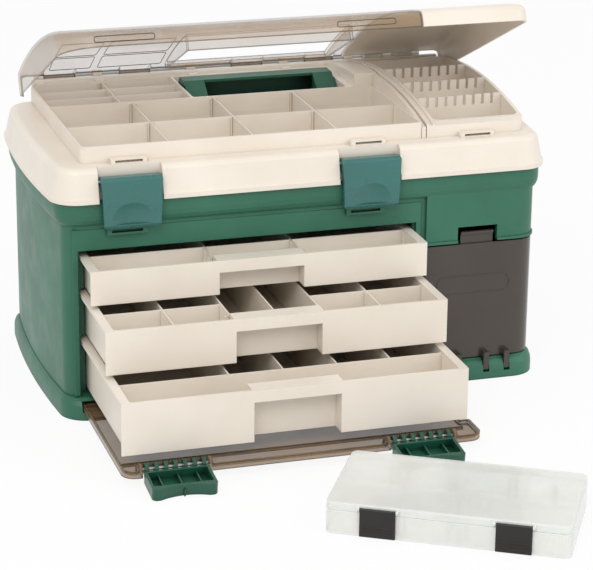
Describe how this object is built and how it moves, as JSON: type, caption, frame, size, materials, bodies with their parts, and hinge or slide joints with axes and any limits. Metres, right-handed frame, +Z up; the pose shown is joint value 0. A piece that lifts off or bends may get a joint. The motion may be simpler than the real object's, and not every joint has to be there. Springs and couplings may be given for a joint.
{
  "type": "fishing tackle cabinet",
  "caption": "Tackle cabinet with sliding drawers, a draw-out front cover, a tray lid under domed covers, a drop-down side door and a separate utility box.",
  "frame": {"origin": "centre of the case's footprint, on the surface it stands on", "axes": "+Z up; -Y the front, where the drawers come out; +X the side with the drop-down door"},
  "size_m": [0.555, 0.7481, 0.4055],
  "materials": {
    "green_case": "satin moulded",
    "teal_latches": "satin moulded",
    "beige_trays": "satin moulded",
    "smoke_covers": "clear smoke",
    "smoke_door": "dark smoke",
    "clear_box": "clear",
    "black_latches": "satin",
    "steel_pins": "drawn"
  },
  "bodies": {
    "case": {"base_case": "green_case", "case_foot": "green_case", "storage_floor": "green_case", "bay_deck": "green_case", "bay_partition": "green_case", "runner_panel_left": "green_case", "runner_panel_right": "green_case", "lid_hinge_rods": "steel_pins", "side_door_pin": "steel_pins"},
    "drawer_top": {"drawer_top": "beige_trays", "drawer_top_dividers": "beige_trays"},
    "drawer_middle": {"drawer_middle": "beige_trays", "drawer_middle_dividers": "beige_trays"},
    "drawer_bottom": {"drawer_bottom": "beige_trays", "drawer_bottom_dividers": "beige_trays"},
    "front_cover": {"front_cover": "smoke_covers", "cover_latch_rods": "steel_pins"},
    "cover_latch_left": {"cover_latch_left": "green_case"},
    "cover_latch_right": {"cover_latch_right": "green_case"},
    "lid": {"lid_deck": "beige_trays", "lid_tub_front": "beige_trays", "lid_tub_rear": "beige_trays", "lid_tub_well": "beige_trays", "lid_tub_rack": "beige_trays", "tray_dividers": "beige_trays", "bait_rack_front": "beige_trays", "bait_rack_middle": "beige_trays", "bait_rack_rear": "beige_trays", "lid_latch_pins": "steel_pins", "cover_hinge_rod": "steel_pins", "handle_pins": "steel_pins"},
    "lid_latch_left": {"lid_latch_left": "teal_latches"},
    "lid_latch_right": {"lid_latch_right": "teal_latches"},
    "handle": {"handle": "green_case"},
    "top_cover": {"top_cover": "smoke_covers"},
    "rack_cover": {"rack_cover": "beige_trays"},
    "side_door": {"side_door": "smoke_door"},
    "utility_box": {"utility_box_base": "clear_box", "utility_dividers": "clear_box", "utility_hinge_pin": "steel_pins"},
    "utility_lid": {"utility_box_lid": "clear_box", "utility_latch_pins": "steel_pins"},
    "utility_latch_left": {"utility_latch_left": "black_latches"},
    "utility_latch_right": {"utility_latch_right": "black_latches"}
  },
  "joints": [
    {"name": "drawer_top_slide", "type": "slide", "parent": "case", "child": "drawer_top", "axis": [0, -1, 0], "range_m": [-0.056, 0.139]},
    {"name": "drawer_middle_slide", "type": "slide", "parent": "case", "child": "drawer_middle", "axis": [0, -1, 0], "range_m": [-0.12, 0.075]},
    {"name": "drawer_bottom_slide", "type": "slide", "parent": "case", "child": "drawer_bottom", "axis": [0, -1, 0], "range_m": [-0.185, 0.01]},
    {"name": "front_cover_slide", "type": "slide", "parent": "case", "child": "front_cover", "axis": [0, -1, 0], "range_m": [-0.165, 0]},
    {"name": "cover_latch_left_hinge", "type": "hinge", "parent": "front_cover", "child": "cover_latch_left", "pos_m": [-0.192, -0.3235, 0.0155], "axis": [-1, 0, 0], "range_deg": [0, 75]},
    {"name": "cover_latch_right_hinge", "type": "hinge", "parent": "front_cover", "child": "cover_latch_right", "pos_m": [0.065, -0.3235, 0.0155], "axis": [-1, 0, 0], "range_deg": [0, 75]},
    {"name": "lid_hinge", "type": "hinge", "parent": "case", "child": "lid", "pos_m": [0, 0.1525, 0.236], "axis": [-1, 0, 0], "range_deg": [0, 80]},
    {"name": "lid_latch_left_hinge", "type": "hinge", "parent": "lid", "child": "lid_latch_left", "pos_m": [-0.19045, -0.141, 0.256], "axis": [-1, 0, 0], "range_deg": [0, 90]},
    {"name": "lid_latch_right_hinge", "type": "hinge", "parent": "lid", "child": "lid_latch_right", "pos_m": [0.06725, -0.141, 0.256], "axis": [-1, 0, 0], "range_deg": [0, 90]},
    {"name": "handle_hinge", "type": "hinge", "parent": "lid", "child": "handle", "pos_m": [0.0135, 0.054, 0.27], "axis": [1, 0, 0], "range_deg": [0, 90]},
    {"name": "top_cover_hinge", "type": "hinge", "parent": "lid", "child": "top_cover", "pos_m": [-0.061, 0.1515, 0.293], "axis": [-1, 0, 0], "range_deg": [-24.4, 75]},
    {"name": "rack_cover_hinge", "type": "hinge", "parent": "lid", "child": "rack_cover", "pos_m": [0.192, 0.1515, 0.293], "axis": [-1, 0, 0], "range_deg": [-24.4, 75]},
    {"name": "side_door_hinge", "type": "hinge", "parent": "case", "child": "side_door", "pos_m": [0.188, -0.147, 0.012], "axis": [1, 0, 0], "range_deg": [0, 90]},
    {"name": "utility_box_lift", "type": "slide", "parent": "case", "child": "utility_box", "axis": [0, 0, 1], "range_m": [0, 0.25]},
    {"name": "utility_lid_hinge", "type": "hinge", "parent": "utility_box", "child": "utility_lid", "pos_m": [0.07929, -0.42287, 0.024], "axis": [-0.8634, 0.5045, 0], "range_deg": [0, 100]},
    {"name": "utility_latch_left_hinge", "type": "hinge", "parent": "utility_lid", "child": "utility_latch_left", "pos_m": [-0.04362, -0.50358, 0.028], "axis": [-0.8634, 0.5045, 0], "range_deg": [0, 110]},
    {"name": "utility_latch_right_hinge", "type": "hinge", "parent": "utility_lid", "child": "utility_latch_right", "pos_m": [0.06689, -0.56816, 0.028], "axis": [-0.8634, 0.5045, 0], "range_deg": [0, 110]}
  ]
}
